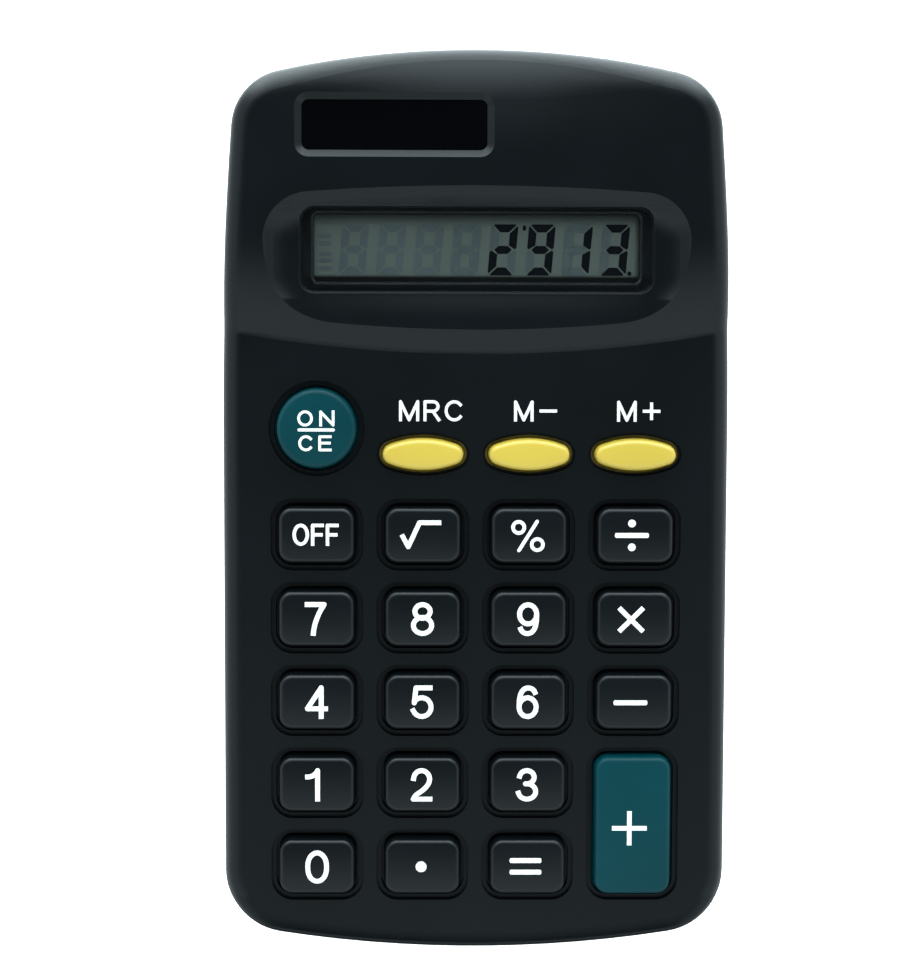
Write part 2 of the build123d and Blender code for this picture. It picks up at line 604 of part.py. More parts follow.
# Display stack
lens = prism(
    lens_place * RectangleRounded(LENS_WIDTH - 2 * FIT, LENS_HEIGHT - 2 * FIT, LENS_CORNER - FIT),
    LEDGE_TOP, LENS_TOP,
)
lens = chamfer(lens.faces().sort_by(Axis.Z)[-1].edges(), LENS_EDGE)
lcd_left = -LCD_WIDTH / 2
lcd_bottom = DISPLAY_Y - LCD_HEIGHT / 2
lcd_top_y = DISPLAY_Y + LCD_HEIGHT / 2
glass = block(lcd_left, -lcd_left, lcd_bottom, lcd_top_y, GLASS_STEP, GLASS_TOP)
glass += block(lcd_left, -lcd_left, lcd_bottom + LCD_LEDGE, lcd_top_y, GLASS_UNDER, GLASS_STEP)
polariser = block(
    lcd_left + FILM_INSET, -lcd_left - FILM_INSET, lcd_bottom + FILM_INSET, lcd_top_y - FILM_INSET,
    GLASS_TOP, LCD_TOP,
)
reflector = block(
    lcd_left + FILM_INSET, -lcd_left - FILM_INSET,
    lcd_bottom + LCD_LEDGE + FILM_INSET, lcd_top_y - FILM_INSET,
    LCD_UNDER, GLASS_UNDER,
)
zebra_y = lcd_bottom + LCD_LEDGE / 2
zebra = block(-ZEBRA_LENGTH / 2, ZEBRA_LENGTH / 2, zebra_y - ZEBRA_WIDTH / 2, zebra_y + ZEBRA_WIDTH / 2,
              BOARD_TOP, GLASS_STEP)
solar = prism(
    solar_place * RectangleRounded(SOLAR_WIDTH - 2 * FIT, SOLAR_HEIGHT - 2 * FIT, SOLAR_CORNER - FIT),
    SOLAR_TOP - SOLAR_THICKNESS, SOLAR_TOP,
)

# Dome mat and pills
mat_low = LAST_ROW_Y - KEY_LENGTH / 2
mat_high = ON_Y + ROUND_KEY_DIAMETER / 2
mat_sketch = Pos(0, (mat_low + mat_high) / 2) * RectangleRounded(
    2 * BOARD_HALF, mat_high - mat_low, BOARD_CORNER
)
mat_top = BOARD_TOP + MAT_THICKNESS
mat = prism(mat_sketch, BOARD_TOP, mat_top)
mat_holes = [pin(BOARD_POST_RADIUS + POST_CLEARANCE, BOARD_TOP, mat_top, x, y) for x, y in BOARD_SCREWS]
mat_holes += [pin(CASE_POST_RADIUS + POST_CLEARANCE, BOARD_TOP, mat_top, x, y) for x, y in CASE_SCREWS]
mat -= mat_holes
dome_height = DOME_TOP - mat_top
dome = Pos(0, 0, mat_top + dome_height / 2) * Cone(DOME_BASE_RADIUS, DOME_TOP_RADIUS, dome_height)
pill_bottom = BOARD_TOP + KEY_TRAVEL
pill_top = pill_bottom + PILL_THICKNESS
hollow_height = pill_top - BOARD_TOP
hollow = Pos(0, 0, BOARD_TOP + hollow_height / 2) * Cone(
    DOME_BASE_RADIUS - DOME_WALL, DOME_TOP_RADIUS - DOME_WALL, hollow_height
)
mat += [Pos(x, y) * dome for x, y in DOMES]
mat -= [Pos(x, y) * hollow for x, y in DOMES]
pills = [pin(PILL_RADIUS, pill_bottom, pill_top, x, y) for x, y in DOMES]

# Board with its parts
board_low = mat_low
board_sketch = Pos(0, (board_low + BOARD_TOP_Y) / 2) * RectangleRounded(
    2 * BOARD_HALF, BOARD_TOP_Y - board_low, BOARD_CORNER
)
board = prism(board_sketch, BOARD_UNDER, BOARD_TOP)
board_hole_radius = BOARD_SCREW_RADIUS + SCREW_CLEARANCE
rear_post_radius = CASE_SCREW_HEAD_RADIUS + REAR_POST_WALL
board_holes = [pin(board_hole_radius, BOARD_UNDER, BOARD_TOP, x, y) for x, y in BOARD_SCREWS]
board_holes += [pin(rear_post_radius + POST_CLEARANCE, BOARD_UNDER, BOARD_TOP, x, y) for x, y in CASE_SCREWS]
board -= board_holes
chip_y = (ON_Y + ROWS[0]) / 2
chip_sphere = (CHIP_RADIUS**2 + CHIP_HEIGHT**2) / (2 * CHIP_HEIGHT)
chip = Pos(0, chip_y, BOARD_UNDER - CHIP_HEIGHT + chip_sphere) * Sphere(chip_sphere)
chip &= block(-CHIP_RADIUS, CHIP_RADIUS, chip_y - CHIP_RADIUS, chip_y + CHIP_RADIUS,
              BOARD_UNDER - 2 * CHIP_HEIGHT, BOARD_UNDER)
capacitor_x = (COLUMNS[2] + COLUMNS[3]) / 2
board_parts = [pin(CAPACITOR_RADIUS, BOARD_UNDER - CAPACITOR_HEIGHT, BOARD_UNDER, capacitor_x, STEP_Y)]
resistor_low = STEP_Y - RESISTOR_LENGTH / 2
resistor_high = STEP_Y + RESISTOR_LENGTH / 2
resistor_under = BOARD_UNDER - RESISTOR_HEIGHT
for i in range(RESISTOR_COUNT):
    x = COLUMNS[1] - i * RESISTOR_PITCH
    board_parts.append(
        block(x, x + RESISTOR_WIDTH, resistor_low, resistor_high, resistor_under, BOARD_UNDER)
    )
board_screw = screw(BOARD_SCREW_RADIUS, BOARD_SCREW_HEAD_RADIUS, BOARD_SCREW_LENGTH)
board_screws = [Pos(x, y, BOARD_UNDER) * board_screw for x, y in BOARD_SCREWS]
case_screw = screw(CASE_SCREW_RADIUS, CASE_SCREW_HEAD_RADIUS, CASE_SCREW_LENGTH)
case_screws = [Pos(x, y, -PARTING_DEPTH - CASE_SCREW_SEAT) * case_screw for x, y in CASE_SCREWS]

# Battery and its contacts, in the desk frame
shell_end = CELL_END_PLUS - CELL_NUB_LENGTH
cell = bar(CELL_RADIUS, CELL_END_MINUS, shell_end, cell_y, cell_z)
cell = chamfer(cell.edges(), CELL_EDGE)
cell += bar(CELL_NUB_DIAMETER / 2, shell_end - FIT, CELL_END_PLUS, cell_y, cell_z)
half_plate = CONTACT_WIDTH / 2
plus_plate = block(CELL_END_PLUS, CELL_END_PLUS + CONTACT_THICKNESS, cell_y - half_plate, cell_y + half_plate,
                   cell_z - half_plate, cell_z + half_plate)
minus_plate = block(SPRING_BACK - CONTACT_THICKNESS, SPRING_BACK, cell_y - half_plate, cell_y + half_plate,
                    cell_z - half_plate, cell_z + half_plate)

leads = [battery_lead(x, side) for x, side in LEADS]

os.makedirs("parts", exist_ok=True)
caps = {kind: key_cap(kind) for kind in ("round", "lens", "plain", "tall")}
on_face = {
    "front_case": front,
    "lcd_window": lens,
    "lcd_glass": glass,
    "lcd_front_polariser": polariser,
    "lcd_reflector": reflector,
    "zebra_strip": zebra,
    "solar_cell": solar,
    "key_mat": mat,
    "contact_pills": Compound(pills),
    "circuit_board": board,
    "chip_cover": chip,
    "board_parts": Compound(board_parts),
    "board_screws": Compound(board_screws),
    "case_screws": Compound(case_screws),
    "battery_leads": Compound(leads),
}
for name, kind, x, y in KEYS:
    on_face[name] = Pos(x, y) * caps[kind]
on_desk = {
    "rear_case": rear,
    "battery_cover": cover,
    "battery": cell,
    "battery_plus_contact": plus_plate,
    "battery_minus_contact": minus_plate,
    "battery_spring": battery_spring(),
}
for name, shape in on_face.items():
    on_desk[name] = FACE * shape
for name, shape in on_desk.items():
    export_step(shape, "parts/" + name + ".step")
    print(name, len(shape.solids()), round(shape.volume, 2))
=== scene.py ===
import json
from math import cos, pi, radians, sin, tan

import bpy
from mathutils import Matrix, Vector
from mathutils.bvhtree import BVHTree
from mathutils.geometry import intersect_point_line


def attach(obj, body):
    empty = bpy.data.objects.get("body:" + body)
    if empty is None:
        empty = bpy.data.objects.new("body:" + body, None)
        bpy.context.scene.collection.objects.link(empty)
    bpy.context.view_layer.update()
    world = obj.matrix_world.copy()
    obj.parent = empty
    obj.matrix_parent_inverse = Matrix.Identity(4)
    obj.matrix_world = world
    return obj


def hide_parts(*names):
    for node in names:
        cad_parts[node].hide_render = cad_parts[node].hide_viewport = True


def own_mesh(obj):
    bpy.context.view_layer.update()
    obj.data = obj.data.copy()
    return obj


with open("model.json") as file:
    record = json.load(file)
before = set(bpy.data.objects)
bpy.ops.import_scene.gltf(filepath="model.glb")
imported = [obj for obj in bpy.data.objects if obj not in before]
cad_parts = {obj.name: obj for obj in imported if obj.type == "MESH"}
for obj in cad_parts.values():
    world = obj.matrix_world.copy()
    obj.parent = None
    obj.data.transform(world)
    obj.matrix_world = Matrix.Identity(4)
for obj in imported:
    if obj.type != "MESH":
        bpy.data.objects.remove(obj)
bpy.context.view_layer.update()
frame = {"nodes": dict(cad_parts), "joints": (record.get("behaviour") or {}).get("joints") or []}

nodes = frame["nodes"]
MM = 0.001

# Face frame: x to the right, y towards the display, z out of the keys. The keys' press axis gives its lean.
press_axis = next(joint["axis"] for joint in frame["joints"] if joint["name"] == "key_5_press")
FACE_UP = -Vector(press_axis)
FACE_RIGHT = Vector((1, 0, 0))
FACE_UPWARD = FACE_UP.cross(FACE_RIGHT)
FACE_TURN = Matrix((FACE_RIGHT, FACE_UPWARD, FACE_UP))

# Printing on the keys, in millimetres from the middle of each key
INK_LIFT = 0.015
LAYER_LIFT = 0.002
DIGIT_LEFT = -1.5
DIGIT_RISE = 0.05
DIGIT_HEIGHT = 4.35
DIGIT_STROKE = 0.63
SIGN_STROKE = 0.6
TIMES_STROKE = 0.62
BAR_STROKE = 0.64
BAR_CORNER = 0.2
SIGN_SHIFT = -0.45
ROOT_BOX = (5.2, 3.7)
ROOT_PLACE = (-0.25, 0.14)
TIMES_BOX = (3.3, 3.25)
PLUS_BOX = (4.5, 4.5)
PLUS_RISE = -0.24
MINUS_LENGTH = 4.35
DIVIDE_RISE = 0.1
DIVIDE_DOT_RISE = 1.53
DIVIDE_DOT = 0.5
EQUALS_LENGTH = 4.1
EQUALS_PLACE = (-0.25, 0.15)
EQUALS_BAR_RISE = 0.76
POINT_PLACE = (-0.15, 0.1)
POINT_RADIUS = 0.71
PERCENT_SHIFT = -0.15
PERCENT_LINE = [(-1.15, -1.85), (1.15, 1.85)]
PERCENT_STROKE = 0.46
PERCENT_RING = 0.72
PERCENT_RING_PLACE = (-1.2, 1.1)
OFF_PLACE = (-3.05, 0.12)
OFF_HEIGHT = 2.84
OFF_STROKE = 0.44
ON_PLACE = (-2.4, 1.34)
CE_PLACE = (-2.28, -1.83)
ON_HEIGHT = 2.04
ON_STROKE = 0.35
ON_BAR_RISE = -0.12
ON_BAR_LENGTH = 4.75

# Spread of the letters, and the gap between them as a share of their height
OFF_SPREAD = 0.83
OFF_GAP = 0.085
ON_SPREAD = 1.08
ON_GAP = 0.4
CE_GAP = 0.32
MRC_SPREAD = 1.03

# Words on the case, in millimetres from the middle of the memory keys
MEMORY_RISE = 5.57
MEMORY_HEIGHT = 2.7
MEMORY_STROKE = 0.39
MEMORY_SIGN = 2.25
MRC_LEFT = -3.08

# Words with a sign: the sign, the left side of the letter, and the gap between them
MEMORY_SIGNS = {"key_m_minus": ("minus", -1.96, 0.75), "key_m_plus": ("plus", -2.35, 0.78)}

# Display, in millimetres from the middle of the window
CELL_PITCH = 4.76
LAST_CELL_X = 17.65
CELL_WIDTH = 3.4
CELL_HEIGHT = 6.5
SEGMENT_WIDTH = 1.02
SEGMENT_GAP = 0.07
SEGMENT_CHAMFER = 0.4
SEGMENT_SLANT = 5.0
SEGMENT_LIFT = 0.02
SHOWN = "    2913"
FIGURE_POINT_PLACE = (1.9, -2.97)
FIGURE_POINT_RADIUS = 0.27
TICK_CELL = 3
TICK_LINE = [(2.75, 2.9), (2.72, 2.65)]
TICK_STROKE = 0.42
MARK_X = -19.3
MARK_RISES = (1.7, 0.75, -0.55, -1.35, -2.4)
MARK_LENGTH = 1.6
FILM_HALF_HEIGHT = 4.05
FILM_HALF_WIDTH = 20.8
RIM_ROUNDING = 0.45
RIM_REACH = 2.5

# Shadow of the rim on the display: where it starts and ends, in millimetres beyond the film's edge, and the
# share of the colour that it leaves
LOWER_SHADOW = (-0.95, -0.45)
UPPER_SHADOW = (-1.4, 1.1)
RIGHT_SHADOW = (-0.8, 0.3)
LEFT_SHADOW = (-0.3, 0.3)
SHADOW_LEVEL = 0.03

# Soft forms of the case that only its shading has, in millimetres from the middle of the window and degrees.
# The band follows an arc that drops by BAND_ARC for each square millimetre off the middle
CROWN_START = 9.5
CROWN_END = 18.5
CROWN_TILT = 7.0
CROWN_HALF_WIDTH = 29.0
BAND_START = 21.0
BAND_END = 23.6
BAND_TILT = 20.0
BAND_ARC = 0.0037
SLOPE_START = -9.2
SLOPE_END = -6.2
SLOPE_TILT = -9.0
SLOPE_FADE = 1.0
SLOPE_HALF_WIDTH = 25.0
WALL_FADE = 0.5
DISH_REACH = (26.6, 27.4)
DISH_LOW = (-13.0, -11.0)
SIDE_WALL_SHARE = 0.5

# How far up a face looks where none of the softening shows, and where all of it does
SOFT_FACING = (0.5, 0.85)

# Walls that look gentler than they are: lowest and highest place, the share of their tilt that is taken off,
# and MAXIMUM where they face the display or MINIMUM where they face the user
SOFT_WALLS = [(-14.0, -6.6, 0.85, "MAXIMUM"), (5.6, 8.5, 0.55, "MINIMUM"), (-95.0, -84.0, 1.2, "MINIMUM")]

# Dome mat: its sheet's top over the board in millimetres, and how level a hollow's wall is
SHEET_TOP = 0.82
HOLLOW_SLANT = (0.1, 0.9)

# Lining of the rear corner, in millimetres: its span from the middle of the case, where it starts, how far
# it lies under the surface and its wall. Its faces look out of the corner, and up by less than the rise
CORNER_SPAN = (28.0, 30.2)
CORNER_BACK = 50.0
CORNER_SINK = 0.03
CORNER_WALL = 0.3
CORNER_FACING = 0.5
CORNER_RISE = 0.02

# Studio: lean from the zenith towards the display in degrees, and brightness there
STUDIO = [
    (-180, 0.008), (-105, 0.012), (-90, 0.018), (-78, 0.045), (-66, 0.1), (-50, 0.13), (-38, 0.125),
    (-24, 0.085), (-15, 0.036), (-8, 0.004), (-2, 0.0), (10, 0.002), (20, 0.04), (30, 0.14),
    (44, 0.28), (60, 0.4), (76, 0.5), (100, 0.5), (130, 0.3), (180, 0.02),
]
STUDIO_TINT = (0.82, 0.955, 1.0)
STUDIO_STRENGTH = 18

# Light from both sides: its brightness, and how far sideways it starts and is full
SIDE_BRIGHTNESS = 0.1
SIDE_START = 0.32
SIDE_FULL = 0.8

# Surface of the plastics: cloudiness in colour and gloss, and the fine grain
CLOUD_SCALE = 60
CLOUD_DETAIL = 4
CLOUD_RANGE = (0.3, 0.7)
GLOSS_SPREAD = 0.04
GRAIN_DETAIL = 2
GRAIN_STRENGTH = 0.35

# Camera in the face frame, in millimetres, degrees and pixels, fitted to the photograph
VIEW_DISTANCE = 300
FOCAL_PIXELS = 2338.16
IMAGE_HEIGHT = 976
KEY_RISE = 1.6
AIM_FROM_KEY_5 = (4.883, 27.56)
VIEW_TILT = 4.581
VIEW_SWING = 0.807
VIEW_ROLL = -0.109


def to_face(point):
    """Row frame to face frame."""
    return FACE_TURN @ point


def to_row(point):
    """Face frame to row frame."""
    return FACE_TURN.transposed() @ point


def face_box(name):
    """Lowest and highest corner of a CAD node in the face frame."""
    points = [to_face(v.co) for v in nodes[name].data.vertices]
    low = Vector(min(p[i] for p in points) for i in range(3))
    high = Vector(max(p[i] for p in points) for i in range(3))
    return low, high


def face_middle(name):
    """Middle of a CAD node in the face frame, at its highest level."""
    low, high = face_box(name)
    return Vector(((low.x + high.x) / 2, (low.y + high.y) / 2, high.z))


def arc(cx, cy, rx, ry, start, end, steps=20):
    """Points along an ellipse between two angles in degrees."""
    turn = [radians(start + (end - start) * i / steps) for i in range(steps + 1)]
    return [(cx + rx * cos(a), cy + ry * sin(a)) for a in turn]


def bend(start, control, end, steps=12):
    """Points along a quadratic curve."""
    share = [i / steps for i in range(steps + 1)]
    return [
        tuple((1 - s) ** 2 * a + 2 * s * (1 - s) * b + s * s * c for a, b, c in zip(start, control, end))
        for s in share
    ]


def half_turn(paths):
    """Paths turned upside down in the unit box."""
    return [[(1 - x, 1 - y) for x, y in path] for path in paths]


# Middle lines of the signs in a box of width and height 1, with the outer width at an outer height of 1
SIX = [
    arc(0.5, 0.33, 0.5, 0.33, 0, 360, 36),
    bend((0, 0.33), (-0.02, 1), (0.54, 1)) + arc(0.54, 0.78, 0.4, 0.22, 90, 18, 8)[1:],
]
GLYPHS = {
    "0": (0.7, [arc(0.5, 0.56, 0.5, 0.44, 0, 180) + arc(0.5, 0.44, 0.5, 0.44, 180, 360) + [(1, 0.56)]]),
    "1": (0.44, [[(1, 0), (1, 1)], bend((0, 0.78), (0.7, 0.78), (1, 1))]),
    "2": (0.64, [
        arc(0.5, 0.7, 0.48, 0.3, 175, -25) + bend((0.93, 0.57), (0.8, 0.4), (0.4, 0.24))
        + bend((0.4, 0.24), (0.06, 0.12), (0.02, 0))[1:],
        [(0, 0), (1, 0)],
    ]),
    "3": (0.65, [
        arc(0.48, 0.77, 0.43, 0.23, 170, -80) + [(0.4, 0.54)],
        [(0.4, 0.54)] + arc(0.49, 0.27, 0.51, 0.27, 80, -168),
    ]),
    "4": (0.68, [[(0.76, 1), (0, 0.28)], [(0, 0.27), (1, 0.27)], [(0.76, 0), (0.76, 1)]]),
    "5": (0.67, [
        [(0.15, 1), (0.94, 1)],
        [(0.15, 1), (0.05, 0.48)],
        arc(0.48, 0.33, 0.52, 0.33, 145, -158),
    ]),
    "6": (0.65, SIX),
    "7": (0.64, [[(0, 1), (1, 1)], bend((1, 1), (0.44, 0.5), (0.36, 0))]),
    "8": (0.68, [arc(0.5, 0.765, 0.42, 0.235, 0, 360, 36), arc(0.5, 0.28, 0.5, 0.28, 0, 360, 36)]),
    "9": (0.65, half_turn(SIX)),
    "C": (0.86, [arc(0.52, 0.5, 0.52, 0.5, 42, 318, 36)]),
    "E": (0.77, [[(0, 0), (0, 1)], [(0, 1), (1, 1)], [(0, 0.52), (0.92, 0.52)], [(0, 0), (1, 0)]]),
    "F": (0.7, [[(0, 0), (0, 1)], [(0, 1), (1, 1)], [(0, 0.5), (0.88, 0.5)]]),
    "M": (0.93, [[(0, 0), (0, 1)], [(1, 0), (1, 1)], [(0, 1), (0.5, 0)], [(1, 1), (0.5, 0)]]),
    "N": (0.88, [[(0, 0), (0, 1)], [(1, 0), (1, 1)], [(0, 1), (1, 0)]]),
    "O": (0.9, [arc(0.5, 0.5, 0.5, 0.5, 0, 360, 40)]),
    "R": (0.78, [
        [(0, 0), (0, 1)],
        [(0, 1), (0.58, 1)] + arc(0.58, 0.74, 0.36, 0.26, 90, -90, 14) + [(0.58, 0.48), (0, 0.48)],
        [(0.56, 0.48), (1, 0)],
    ]),
    "plus": (1.0, [[(0, 0.5), (1, 0.5)], [(0.5, 0), (0.5, 1)]]),
    "minus": (1.0, [[(0, 0.5), (1, 0.5)]]),
    "times": (1.0, [[(0, 0), (1, 1)], [(0, 1), (1, 0)]]),
    "root": (1.4, [[(0, 0.42), (0.15, 0)], [(0.15, 0), (0.46, 1)], [(0.46, 1), (1, 1)]]),
}


def ribbon(path, stroke):
    """Left and right side of a stroke along a path, in steps short enough to follow a curved face."""
    longest_step = 0.4
    points = [Vector(path[0])]
    for target in path[1:]:
        start = points[-1]
        count = max(1, round((Vector(target) - start).length / longest_step + 0.5))
        points += [start.lerp(Vector(target), (i + 1) / count) for i in range(count)]
    closed = (points[0] - points[-1]).length < stroke / 10
    sides = []
    for i, point in enumerate(points):
        before = points[i - 1] if i else (points[-2] if closed else point)
        after = points[i + 1] if i + 1 < len(points) else (points[1] if closed else point)
        way = (after - before).normalized()
        normal = Vector((-way.y, way.x)) * stroke / 2
        sides.append((point + normal, point - normal))
    return sides


def add_piece(name, points, faces, body, material, node):
    """A new piece that moves with a body, in the given material. The node is not used."""
    mesh = bpy.data.meshes.new(name)
    mesh.from_pydata(points, [], faces)
    mesh.materials.append(material)
    piece = bpy.data.objects.new(name, mesh)
    bpy.context.scene.collection.objects.link(piece)
    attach(piece, body)
    return piece


def touches(point, path, stroke):
    """True if a point lies on a path, or within half a stroke of it."""
    for a, b in zip(path, path[1:]):
        share = intersect_point_line(point, a, b)[1]
        if (a.lerp(b, min(1, max(0, share))) - point).length < stroke / 2:
            return True
    return False


class Ink:
    """Flat printing gathered as strokes and dots in millimetres, then laid on the face of a CAD node."""

    def __init__(self):
        self.points = []
        self.layers = []
        self.faces = []

    def add_points(self, points):
        """Adds the points of one stroke or dot, a layer above the last, and returns the first's number."""
        first = len(self.points)
        layer = self.layers[-1] + 1 if self.layers else 0
        self.points += [Vector(point) for point in points]
        self.layers += [layer] * len(points)
        return first

    def stroke(self, path, width, flat=(False, False)):
        """A stroke along a path. An end is round, or flat and half a width further on. A ring has none."""
        path = [Vector(point) for point in path]
        ring = (path[0] - path[-1]).length < width / 10
        ends = [] if ring else [(0, 1), (-1, -2)]
        for end, following in ends:
            if flat[end]:
                path[end] = path[end] + (path[end] - path[following]).normalized() * width / 2
            else:
                self.dot(*path[end], width / 2)
        sides = ribbon(path, width)
        first = self.add_points([point for pair in sides for point in pair])
        for a in range(first, len(self.points) - 2, 2):
            self.faces.append((a, a + 1, a + 3, a + 2))

    def dot(self, x, y, radius):
        """A round dot."""
        self.polygon(arc(x, y, radius, radius, 0, 360, steps=24)[:-1])

    def bar(self, x, y, width, height):
        """A level bar with rounded corners."""
        dx = width / 2 - BAR_CORNER
        dy = height / 2 - BAR_CORNER
        corners = []
        for turn, (sx, sy) in zip((0, 90, 180, 270), ((1, 1), (-1, 1), (-1, -1), (1, -1))):
            corners += arc(x + sx * dx, y + sy * dy, BAR_CORNER, BAR_CORNER, turn, turn + 90, steps=5)
        self.polygon(corners)

    def polygon(self, corners):
        """A filled outline."""
        first = self.add_points(corners)
        self.faces.append(tuple(range(first, first + len(corners))))

    def sign(self, sign, left, y, width, height, stroke):
        """One sign in a box with its left side and middle height given, the stroke inside the box. Ends
        that meet no other stroke are flat."""
        def place(px, py):
            return Vector((left + stroke / 2 + px * (width - stroke), y + (py - 0.5) * (height - stroke)))

        paths = [[place(*point) for point in path] for path in GLYPHS[sign][1]]
        for path in paths:
            others = [line for line in paths if line is not path]
            free = [not any(touches(path[end], line, stroke) for line in others) for end in (0, -1)]
            self.stroke(path, stroke, free)

    def text(self, letters, left, y, height, stroke, spread=1.0, gap=0.2):
        """Letters in a row from the left. spread widens or narrows them, gap is a share of the height."""
        for letter in letters:
            width = GLYPHS[letter][0] * height * spread
            self.sign(letter, left, y, width, height, stroke)
            left += width + gap * height

    def lay(self, name, node, origin, body, material, lift=INK_LIFT):
        """The printing as a piece on top of a CAD node. origin is a point of the face frame."""
        mesh = nodes[node].data
        tree = BVHTree.FromPolygons([v.co for v in mesh.vertices], [p.vertices for p in mesh.polygons])
        above = face_box(node)[1].z + MM
        placed = []
        for point, layer in zip(self.points, self.layers):
            spot = Vector((origin.x + point.x * MM, origin.y + point.y * MM, above))
            hit = tree.ray_cast(to_row(spot), -FACE_UP)[0]
            placed.append(hit + FACE_UP * (lift + layer * LAYER_LIFT) * MM)
        piece = add_piece(name, placed, self.faces, body, material, node)
        for face in piece.data.polygons:
            if face.normal.dot(FACE_UP) < 0:
                face.flip()


def shader_of(material):
    """The material's main shader."""
    material.use_nodes = True
    return material.node_tree.nodes["Principled BSDF"]


def feed(material, socket, value):
    """Sets a shader socket to a number, or links another socket to it."""
    if isinstance(value, (int, float)):
        socket.default_value = value
    else:
        material.node_tree.links.new(value, socket)


def calculate(material, operation, *values):
    """The result of a sum on numbers or sockets."""
    node = material.node_tree.nodes.new("ShaderNodeMath")
    node.operation = operation
    for socket, value in zip(node.inputs, values):
        feed(material, socket, value)
    return node.outputs["Value"]


def along(material, vector, axis):
    """How far a vector socket reaches along an axis."""
    node = material.node_tree.nodes.new("ShaderNodeVectorMath")
    node.operation = "DOT_PRODUCT"
    node.inputs[1].default_value = axis
    feed(material, node.inputs[0], vector)
    return node.outputs["Value"]


def soft_step(material, value, start, end, first=0.0, last=1.0):
    """Runs smoothly from first to last while a socket's value goes from start to end."""
    node = material.node_tree.nodes.new("ShaderNodeMapRange")
    node.interpolation_type = "SMOOTHSTEP"
    for socket, number in (("From Min", start), ("From Max", end), ("To Min", first), ("To Max", last)):
        node.inputs[socket].default_value = number
    feed(material, node.inputs["Value"], value)
    return node.outputs["Result"]


def object_place(material):
    """The socket with the place on the object."""
    return material.node_tree.nodes.new("ShaderNodeTexCoord").outputs["Object"]


def moulded(name, colour, roughness, grain=0.16, depth=0.012, shade=0.12, specular=0.5, rounding=0.0):
    """Moulded plastic: fine grain in the surface, slight cloudiness in colour and gloss, and sharp edges
    that catch the light over a width of rounding."""
    material = bpy.data.materials.new(name)
    shader = shader_of(material)
    parts, links = material.node_tree.nodes, material.node_tree.links
    place = parts.new("ShaderNodeTexCoord")
    clouds = parts.new("ShaderNodeTexNoise")
    clouds.inputs["Scale"].default_value = CLOUD_SCALE
    clouds.inputs["Detail"].default_value = CLOUD_DETAIL
    links.new(place.outputs["Object"], clouds.inputs["Vector"])
    ramp = parts.new("ShaderNodeValToRGB")
    dark, light = ramp.color_ramp.elements
    dark.position, light.position = CLOUD_RANGE
    dark.color = [c * (1 - shade) for c in colour] + [1]
    light.color = [min(1, c * (1 + shade)) for c in colour] + [1]
    links.new(clouds.outputs["Fac"], ramp.inputs["Fac"])
    links.new(ramp.outputs["Color"], shader.inputs["Base Color"])
    gloss = parts.new("ShaderNodeMapRange")
    gloss.inputs["To Min"].default_value = roughness - GLOSS_SPREAD
    gloss.inputs["To Max"].default_value = roughness + GLOSS_SPREAD
    links.new(clouds.outputs["Fac"], gloss.inputs["Value"])
    links.new(gloss.outputs["Result"], shader.inputs["Roughness"])
    fine = parts.new("ShaderNodeTexNoise")
    fine.inputs["Scale"].default_value = 1 / (grain * MM)
    fine.inputs["Detail"].default_value = GRAIN_DETAIL
    links.new(place.outputs["Object"], fine.inputs["Vector"])
    relief = parts.new("ShaderNodeBump")
    relief.inputs["Strength"].default_value = GRAIN_STRENGTH
    relief.inputs["Distance"].default_value = depth * MM
    links.new(fine.outputs["Fac"], relief.inputs["Height"])
    links.new(relief.outputs["Normal"], shader.inputs["Normal"])
    if rounding:
        edge = parts.new("ShaderNodeBevel")
        edge.inputs["Radius"].default_value = rounding * MM
        links.new(edge.outputs["Normal"], relief.inputs["Normal"])
    shader.inputs["Specular IOR Level"].default_value = specular
    return material


def metal(name, colour, roughness):
    """Plated metal with a brushed variation in gloss."""
    material = moulded(name, colour, roughness, grain=0.5, depth=0.004, shade=0.08)
    shader_of(material).inputs["Metallic"].default_value = 1
    return material


def edge_shadow(material, axis, start, end):
    """Darkens a material's colour from start to end along a direction, both distances from the origin."""
    shader = shader_of(material)
    dim = material.node_tree.nodes.new("ShaderNodeVectorMath")
    dim.operation = "SCALE"
    feed(material, dim.inputs[0], shader.inputs["Base Color"].links[0].from_socket)
    light = soft_step(material, along(material, object_place(material), axis), start, end, 1, SHADOW_LEVEL)
    feed(material, dim.inputs["Scale"], light)
    feed(material, shader.inputs["Base Color"], dim.outputs["Vector"])


